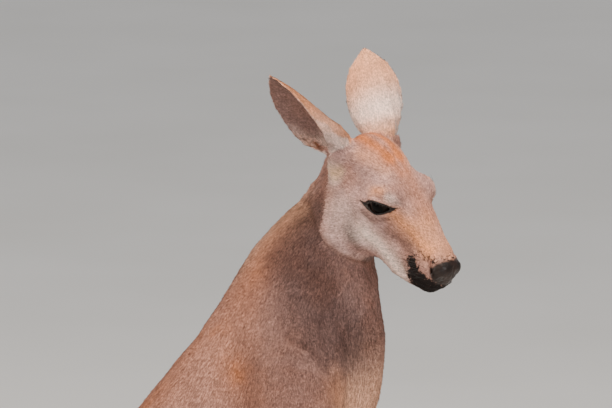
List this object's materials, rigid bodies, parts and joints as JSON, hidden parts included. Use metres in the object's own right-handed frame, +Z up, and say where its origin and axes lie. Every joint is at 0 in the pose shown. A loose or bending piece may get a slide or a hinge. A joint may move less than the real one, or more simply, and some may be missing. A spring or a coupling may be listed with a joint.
{
  "type": "red kangaroo",
  "caption": "Life-size upright kangaroo with its head turned aside, forelimbs held in front, long hind feet and a thick tail resting on the floor.",
  "frame": {"origin": "middle of the bounding box's base, on the floor the animal stands on", "axes": "+Z up, the animal faces -Y, its left side is +X"},
  "size_m": [0.3146, 1.2306, 1.2332],
  "materials": {
    "short_fur": "short dense fur, pinkish grey-brown with rufous back and crown and a pale chest and jaw",
    "claw_horn": "smooth dark horn",
    "wet_eye": "wet, nearly black"
  },
  "bodies": {
    "root": {"head": "short_fur", "neck": "short_fur", "trunk": "short_fur", "tail_upper": "short_fur", "tail_middle": "short_fur", "tail_end": "short_fur", "left_ear": "short_fur", "left_eye": "wet_eye", "left_fifth_toe_claw": "claw_horn", "left_finger_claw_1": "claw_horn", "left_finger_claw_2": "claw_horn", "left_finger_claw_3": "claw_horn", "left_finger_claw_4": "claw_horn", "left_finger_claw_5": "claw_horn", "left_foot": "short_fur", "left_forearm": "short_fur", "left_fourth_toe_claw": "claw_horn", "left_hand": "short_fur", "left_second_toe_claw": "claw_horn", "left_shin": "short_fur", "left_thigh": "short_fur", "left_third_toe_claw": "claw_horn", "left_upper_arm": "short_fur", "right_ear": "short_fur", "right_eye": "wet_eye", "right_fifth_toe_claw": "claw_horn", "right_finger_claw_1": "claw_horn", "right_finger_claw_2": "claw_horn", "right_finger_claw_3": "claw_horn", "right_finger_claw_4": "claw_horn", "right_finger_claw_5": "claw_horn", "right_foot": "short_fur", "right_forearm": "short_fur", "right_fourth_toe_claw": "claw_horn", "right_hand": "short_fur", "right_second_toe_claw": "claw_horn", "right_shin": "short_fur", "right_thigh": "short_fur", "right_third_toe_claw": "claw_horn", "right_upper_arm": "short_fur"}
  },
  "joints": []
}
